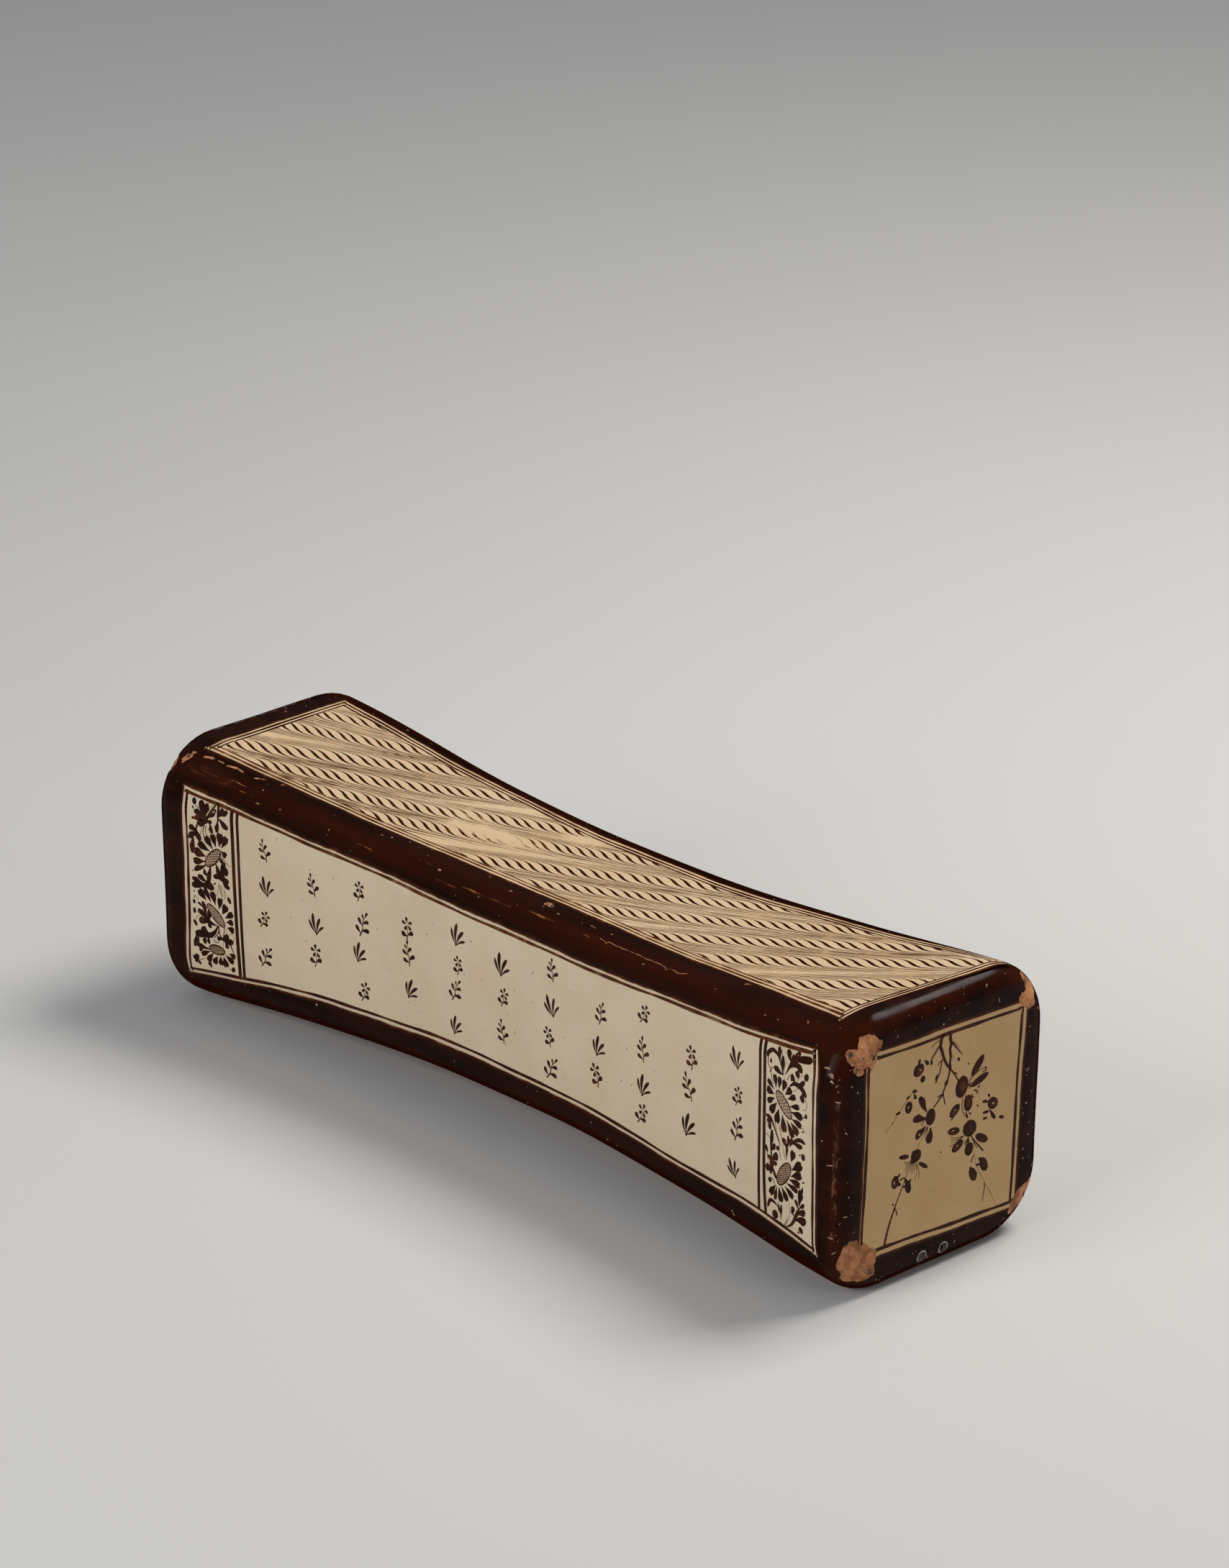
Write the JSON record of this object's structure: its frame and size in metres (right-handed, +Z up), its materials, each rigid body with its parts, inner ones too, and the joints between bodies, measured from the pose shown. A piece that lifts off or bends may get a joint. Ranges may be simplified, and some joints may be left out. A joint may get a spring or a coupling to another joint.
{
  "type": "ceramic pillow",
  "caption": "Hollow slab-built stoneware pillow with waisted sides, a dished headrest, an arched base, rounded brown-glazed edges and pale painted slip panels.",
  "frame": {"origin": "on the resting plane, under the middle of the base", "axes": "+X along the length towards the end with the two filled holes, -Y out of the front wall, +Z up through the headrest"},
  "size_m": [0.4196, 0.12, 0.12],
  "materials": {
    "clay": "rough fired stoneware clay, buff to orange",
    "brown_glaze": "glossy near-black brown glaze, amber where thin",
    "slip": "ivory slip under a clear glaze, with brown-black brush painting",
    "filler": "matt grey-brown filling"
  },
  "bodies": {
    "root": {"top_slab": "clay", "base_slab": "clay", "front_wall": "clay", "back_wall": "clay", "left_end": "clay", "right_end": "clay", "edge_glaze": "brown_glaze", "top_slip_panel": "slip", "front_slip_panel": "slip", "back_slip_panel": "slip", "left_end_slip_panel": "slip", "right_end_slip_panel": "slip", "front_top_seam_coil": "clay", "back_top_seam_coil": "clay", "front_base_seam_coil": "clay", "back_base_seam_coil": "clay", "left_end_seam_coil": "clay", "right_end_seam_coil": "clay", "sample_plugs": "filler"}
  },
  "joints": []
}
